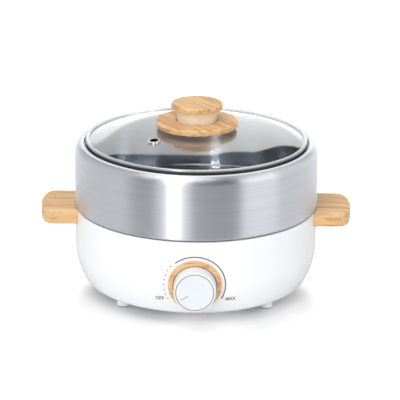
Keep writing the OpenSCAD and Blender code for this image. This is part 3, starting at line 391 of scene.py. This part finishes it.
WOOD = {"pale": (0.84, 0.55, 0.255), "mid": (0.78, 0.47, 0.195), "dark": (0.61, 0.30, 0.125)}
PALE_WOOD = {"pale": (0.91, 0.78, 0.62), "mid": (0.89, 0.75, 0.58), "dark": (0.84, 0.68, 0.50)}
MATERIALS = {
    "base_white": lambda n: moulded(n, (0.93, 0.94, 0.955), rough=0.22, mottle=0.006, coat=0.25),
    "knob_white": knob_plastic,
    "wood": lambda n: timber(n, **WOOD, along=(0.0, 0.05, 0.12), fine=1.3),
    "pale_wood": lambda n: timber(n, **PALE_WOOD, along=(0.1, 0.0, 0.3)),
    "brushed_steel": pot_steel,
    "polished_steel": rim_steel,
    "glass": clear_glass,
    "rubber": lambda n: moulded(n, (0.035, 0.035, 0.037), rough=0.75, mottle=0.1, grain=900.0, relief=0.3),
    "zinc_steel": lambda n: worked_metal(n, (0.66, 0.66, 0.67), rough=0.34),
    "liner_metal": lambda n: spun_steel(n, (0.72, 0.72, 0.73), rough=0.40, spread=0.05, brush=0.06,
                                        anisotropy=0.5),
    "plate_metal": lambda n: worked_metal(n, (0.52, 0.52, 0.53), rough=0.55, grain=260.0),
    "sheath_steel": lambda n: worked_metal(n, (0.24, 0.23, 0.22), rough=0.55),
    "ceramic": lambda n: moulded(n, (0.86, 0.83, 0.76), rough=0.6, mottle=0.04, grain=700.0, relief=0.2),
    "brass": lambda n: worked_metal(n, (0.80, 0.60, 0.28), rough=0.32),
    "copper": lambda n: worked_metal(n, (0.76, 0.42, 0.28), rough=0.35),
    "case_grey": lambda n: moulded(n, (0.70, 0.70, 0.68), rough=0.5, mottle=0.03),
    "inlet_black": lambda n: moulded(n, (0.028, 0.028, 0.03), rough=0.45, mottle=0.1),
    "mark_grey": lambda n: moulded(n, (0.11, 0.115, 0.125), rough=0.5, mottle=0.04),
    "wire_brown": lambda n: moulded(n, (0.20, 0.09, 0.04), rough=0.45, mottle=0.06),
    "wire_red": lambda n: moulded(n, (0.50, 0.04, 0.03), rough=0.45, mottle=0.06),
    "wire_blue": lambda n: moulded(n, (0.04, 0.14, 0.45), rough=0.45, mottle=0.06),
    "wire_green": lambda n: moulded(n, (0.10, 0.36, 0.08), rough=0.45, mottle=0.06),
}
made_materials = {slot: build(slot) for slot, build in MATERIALS.items()}
for part in frame["record"]["subparts"]:
    shown = nodes[part["node"]]
    shown.data.materials.clear()
    shown.data.materials.append(made_materials[part["material_slot"]])
knob_wood = timber("wood_knob", **WOOD, along=(0.0, 0.12, 0.95), fine=1.6)
for name in ("knob_base", "knob_cap"):
    nodes[name].data.materials[0] = knob_wood
nodes["vent_grommet"].data.materials[0] = vent_steel("vent_steel")
nodes["dial_pointer"].data.materials[0] = moulded("pointer_grey", (0.46, 0.47, 0.49), rough=0.45, mottle=0.03)


# Printed marks round the dial, laid on the shell's curved wall

def shell_radius(z):
    """Radius of the shell's outer wall at a height."""
    if z >= ROUND_Z:
        return BODY_R
    return BODY_R - SIDE_ARC_R + math.sqrt(max(SIDE_ARC_R ** 2 - (ROUND_Z - z) ** 2, 0.0))


def on_shell(x, up):
    """Point on the front wall at x and a height above the dial's axis, lifted by the ink's thickness."""
    z = DIAL_Z + up
    r = shell_radius(z) + INK
    return Vector((x, -math.sqrt(r * r - x * x), z))


def printed(name, points, faces):
    """One printed mark in the scene, riding on the base."""
    mesh = bpy.data.meshes.new(name)
    mesh.from_pydata(points, [], faces)
    mesh.materials.append(made_materials["mark_grey"])
    made = bpy.data.objects.new(name, mesh)
    bpy.context.scene.collection.objects.link(made)
    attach(made, "base")


def print_arc(name, radius, width, start, end, steps=96):
    """Line round the dial between two angles in degrees, from the right and anticlockwise."""
    points, faces = [], []
    for i in range(steps + 1):
        a = math.radians(start + (end - start) * i / steps)
        for r in (radius - width / 2, radius + width / 2):
            points.append(on_shell(r * math.cos(a), r * math.sin(a)))
        if i:
            faces.append((2 * i - 2, 2 * i, 2 * i + 1, 2 * i - 1))
    printed(name, points, faces)


def print_dots(name, radius, dot_r, start, end, count, sides=20):
    """Row of dots round the dial between two angles in degrees."""
    points, faces = [], []
    for i in range(count):
        a = math.radians(start + (end - start) * i / (count - 1))
        cx, cz = radius * math.cos(a), radius * math.sin(a)
        first = len(points)
        for k in range(sides):
            t = 2 * math.pi * k / sides
            points.append(on_shell(cx + dot_r * math.cos(t), cz + dot_r * math.sin(t)))
        faces.append(tuple(range(first, first + sides)))
    printed(name, points, faces)


# Each letter's width and the lines of its strokes, for a height of 1
OVAL = [(0.44 + 0.42 * math.cos(math.pi * k / 12), 0.5 + 0.5 * math.sin(math.pi * k / 12)) for k in range(25)]
LETTERS = {
    "O": (0.88, [OVAL]),
    "F": (0.56, [[(0.08, 0), (0.08, 1), (0.52, 1)], [(0.08, 0.52), (0.46, 0.52)]]),
    "M": (0.94, [[(0.06, 0), (0.12, 1), (0.47, 0.12), (0.82, 1), (0.88, 0)]]),
    "A": (0.84, [[(0.02, 0), (0.42, 1), (0.82, 0)], [(0.16, 0.33), (0.68, 0.33)]]),
    "X": (0.80, [[(0.05, 0), (0.75, 1)], [(0.75, 0), (0.05, 1)]]),
}
LETTER_SPACE = 0.14


def print_word(name, word, x, up, height, weight):
    """Word in plain capitals drawn with strokes of one weight, centred at x and up."""
    pen = -(sum(LETTERS[letter][0] + LETTER_SPACE for letter in word) - LETTER_SPACE) / 2
    points, faces = [], []
    for letter in word:
        width, lines = LETTERS[letter]
        for line in lines:
            for (ax, ay), (bx, by) in zip(line, line[1:]):
                start = Vector((x + (pen + ax) * height, up + (ay - 0.5) * height))
                end = Vector((x + (pen + bx) * height, up + (by - 0.5) * height))
                along = (end - start).normalized() * weight / 2
                side = Vector((-along.y, along.x))
                faces.append(tuple(range(len(points), len(points) + 4)))
                tail, tip = start - along, end + along
                for corner in (tail + side, tail - side, tip - side, tip + side):
                    points.append(on_shell(corner.x, corner.y))
        pen += width + LETTER_SPACE
    printed(name, points, faces)


print_arc("dial_arc", radius=0.0291, width=0.0011, start=130.5, end=-30.0)
print_dots("dial_dots", radius=0.0296, dot_r=0.00066, start=210.0, end=141.0, count=8)
print_word("mark_off", "OFF", x=-0.0330, up=-0.0153, height=0.0034, weight=0.00066)
print_word("mark_max", "MAX", x=0.0340, up=-0.0153, height=0.0032, weight=0.00066)


# Floor, light and camera

# Soft edges, as turns, of the dark stands on each side of the key light that the metal mirrors
RIGHT_STAND_IN = (-0.12, -0.04)
RIGHT_STAND_OUT, RIGHT_SHADE_OUT = (0.76, 0.71), (0.72, 0.62)
LEFT_STAND_IN, LEFT_STAND_OUT = (-0.58, -0.66), (-1.15, -0.98)


def floor_glow(tree, path, x, y):
    """Glow that whitens the floor. The camera sees it beyond the part's shadow; close to the part it is weaker,
    so the real shadow shows, and the shadow's shape there is a painted shadow:
    it lies a little forward, is palest in the middle and paler on the right. Metal and glass see it far behind
    the part."""
    forward, narrow, edge = 0.06, 1.45, (0.105, 0.165)
    middle_x, middle_edge, right_edge = 0.008, (0.01, 0.055), (0.06, 0.1)
    # Painted shadow: the camera's glow is cut down round the part in a shaped patch, lowest at the sides,
    # higher in the middle and on the right.
    far = step(tree, length(tree, x, product(tree, total(tree, y, forward), narrow)), *edge)
    middle = step(tree, size_of(tree, minus(tree, x, middle_x)), *middle_edge)
    near = total(tree, level(tree, middle, 0.24, 0.03), product(tree, step(tree, x, *right_edge), 0.09))
    seen = product(tree, path["Is Camera Ray"], level(tree, far, near, 0.9))
    mirrored = largest(tree, path["Is Glossy Ray"], path["Is Transmission Ray"])
    behind = level(tree, step(tree, y, 0.45, 0.8), 0.2, 1.2)
    return total(tree, seen, product(tree, mirrored, far, behind))


def floor_tone(tree, path, x, y):
    """Pale paper; metal mirrors it duller, and dark in front of the stands."""
    paper = noise(tree, coords(tree), scale=30.0)
    tone = ramp(tree, paper, [(0.3, (0.86, 0.86, 0.865)), (0.7, (0.88, 0.88, 0.885))])
    turn = turn_of(tree, x, y)
    right = product(tree, between(tree, turn, RIGHT_STAND_IN, RIGHT_SHADE_OUT), 0.85)
    left = between(tree, turn, LEFT_STAND_IN, LEFT_STAND_OUT)
    shade = product(tree, total(tree, right, left), step(tree, length(tree, x, y), 0.25, 0.5))
    duller = product(tree, path["Is Glossy Ray"], level(tree, shade, 0.3, 0.9))
    return blend(tree, duller, tone, (0.15, 0.15, 0.15))


def studio_floor():
    """Wide pale floor just under the feet; it keeps the part's shadow, whose shape is partly a painted shadow
    in its glow.
    """
    size, drop = 6.0, -0.0002
    mesh = bpy.data.meshes.new("floor")
    mesh.from_pydata([(-size, -size, drop), (size, -size, drop), (size, size, drop), (-size, size, drop)],
                     [], [(0, 1, 2, 3)])
    made = bpy.data.objects.new("floor", mesh)
    bpy.context.scene.collection.objects.link(made)
    surface = bpy.data.materials.new("floor_paper")
    surface.use_nodes = True
    tree = surface.node_tree
    tree.nodes.clear()
    path = add(tree, "LightPath").outputs
    x, y, _ = places(tree)
    matt = add(tree, "BsdfDiffuse", {"Color": floor_tone(tree, path, x, y)})
    glow = add(tree, "Emission", {"Color": (1, 1, 1, 1), "Strength": floor_glow(tree, path, x, y)})
    both = add(tree, "AddShader", {0: matt.outputs[0], 1: glow.outputs[0]})
    add(tree, "OutputMaterial", {"Surface": both.outputs[0]})
    mesh.materials.append(surface)


def back_gap(tree, slope, aside):
    """Dark gap above the back wall, whose top bows down to both sides and drops twice on the right."""
    top, lowest, bow = 0.708, 0.38, 3.0
    first_drop = product(tree, step(tree, aside, 0.03, 0.10), 0.055)
    second_drop = product(tree, step(tree, aside, 0.145, 0.19), 0.15)
    sag = total(tree, product(tree, aside, aside, bow), first_drop, second_drop)
    wall_top = largest(tree, minus(tree, top, sag), lowest)
    return product(tree, step(tree, minus(tree, slope, wall_top), -0.01, 0.03), step(tree, slope, 1.3, 1.0),
                   step(tree, size_of(tree, aside), 0.62, 0.42))


def back_sweep(tree, slope, aside):
    """Bright low band of the back wall, higher towards the sides and lower on the right."""
    rise = 2.5
    apart = size_of(tree, aside)
    top = level(tree, step(tree, aside, -0.03, 0.03), -0.08, -0.16)
    over = minus(tree, minus(tree, slope, product(tree, apart, rise)), top)
    return product(tree, step(tree, over, 0.0, -0.06), step(tree, slope, 0.44, 0.30),
                   step(tree, apart, 0.4, 0.3))


def front_dark(tree, y, z, turn):
    """Dark things in front: a stand on each side of the key light, the left side and the ceiling."""
    low = step(tree, z, 0.97, 0.86)
    right_stand = product(tree, between(tree, turn, RIGHT_STAND_IN, RIGHT_STAND_OUT), low, 0.96)
    left_stand = product(tree, between(tree, turn, LEFT_STAND_IN, LEFT_STAND_OUT), low, 0.9)
    left_side = product(tree, step(tree, turn, -0.6, -0.8), 0.25)
    ceiling = product(tree, step(tree, z, 0.62, 0.85), step(tree, y, 0.25, 0.05), 0.5)
    return largest(tree, right_stand, left_stand, left_side, ceiling)


def studio_world():
    """Room of light. The camera sees white and matt surfaces get even soft light. Metal and glass mirror white
    walls with a dark gap and a bright sweep at the back and dark stands in front."""
    world = bpy.data.worlds.new("studio")
    world.use_nodes = True
    bpy.context.scene.world = world
    tree = world.node_tree
    tree.nodes.clear()
    x, y, z = add(tree, "SeparateXYZ", {0: add(tree, "TexCoord").outputs["Generated"]}).outputs
    depth = largest(tree, size_of(tree, y), 0.001)
    slope, aside = calc(tree, "DIVIDE", z, depth), calc(tree, "DIVIDE", x, depth)
    at_back = above(tree, y, 0.0)
    gap = product(tree, at_back, back_gap(tree, slope, aside))
    dark = largest(tree, gap, front_dark(tree, y, z, turn_of(tree, x, y)))
    sweep = product(tree, at_back, back_sweep(tree, slope, aside))
    room = level(tree, dark, level(tree, sweep, 1.0, 1.7), 0.03)
    even = level(tree, step(tree, y, 0.3, -0.6), 0.50, 0.66)
    path = add(tree, "LightPath").outputs
    glossy = largest(tree, path["Is Glossy Ray"], path["Is Transmission Ray"])
    soft = total(tree, product(tree, glossy, room), product(tree, minus(tree, 1.0, glossy), even))
    strength = largest(tree, path["Is Camera Ray"], soft)
    back = add(tree, "Background", {"Color": (1, 1, 1, 1), "Strength": strength})
    add(tree, "OutputWorld", {"Surface": back.outputs[0]})


def softbox(name, place, aim, width, height, power):
    lamp = bpy.data.lights.new(name, "AREA")
    lamp.shape = "RECTANGLE"
    lamp.size = width
    lamp.size_y = height
    lamp.energy = power
    made = bpy.data.objects.new(name, lamp)
    made.location = place
    made.rotation_euler = (Vector(aim) - Vector(place)).to_track_quat("-Z", "Y").to_euler()
    bpy.context.scene.collection.objects.link(made)


def studio_camera():
    """Camera fitted to the photo: square frame, slight roll, looking down on the lid."""
    rise, roll, distance = math.radians(18.61), math.radians(0.621), 2.0
    aim = Vector((0.003986, 0, 0.0882))
    focus_px, frame_px, sensor = 2008.45, 400, 36.0
    right = Vector((1, 0, 0))
    back = Vector((0, -math.cos(rise), math.sin(rise)))
    up = back.cross(right)
    tilted_right = right * math.cos(roll) + up * math.sin(roll)
    tilted_up = up * math.cos(roll) - right * math.sin(roll)
    lens = bpy.data.cameras.new("camera")
    lens.sensor_fit = "HORIZONTAL"
    lens.sensor_width = sensor
    lens.lens = sensor * focus_px / frame_px
    made = bpy.data.objects.new("camera", lens)
    turn = Matrix((tilted_right, tilted_up, back)).transposed().to_4x4()
    made.matrix_world = Matrix.Translation(aim + back * distance) @ turn
    bpy.context.scene.collection.objects.link(made)
    bpy.context.scene.camera = made


studio_floor()
studio_world()
softbox("key", place=(-0.59, -1.65, 0.75), aim=(0, 0, 0.10), width=0.27, height=1.1, power=9.8)
softbox("fill", place=(1.55, -0.82, 0.85), aim=(0, 0, 0.08), width=1.2, height=1.2, power=4.7)
softbox("top", place=(-0.3, -0.3, 1.7), aim=(0, 0, 0.1), width=1.2, height=1.0, power=10.3)
studio_camera()
bpy.context.scene.view_settings.view_transform = "Standard"
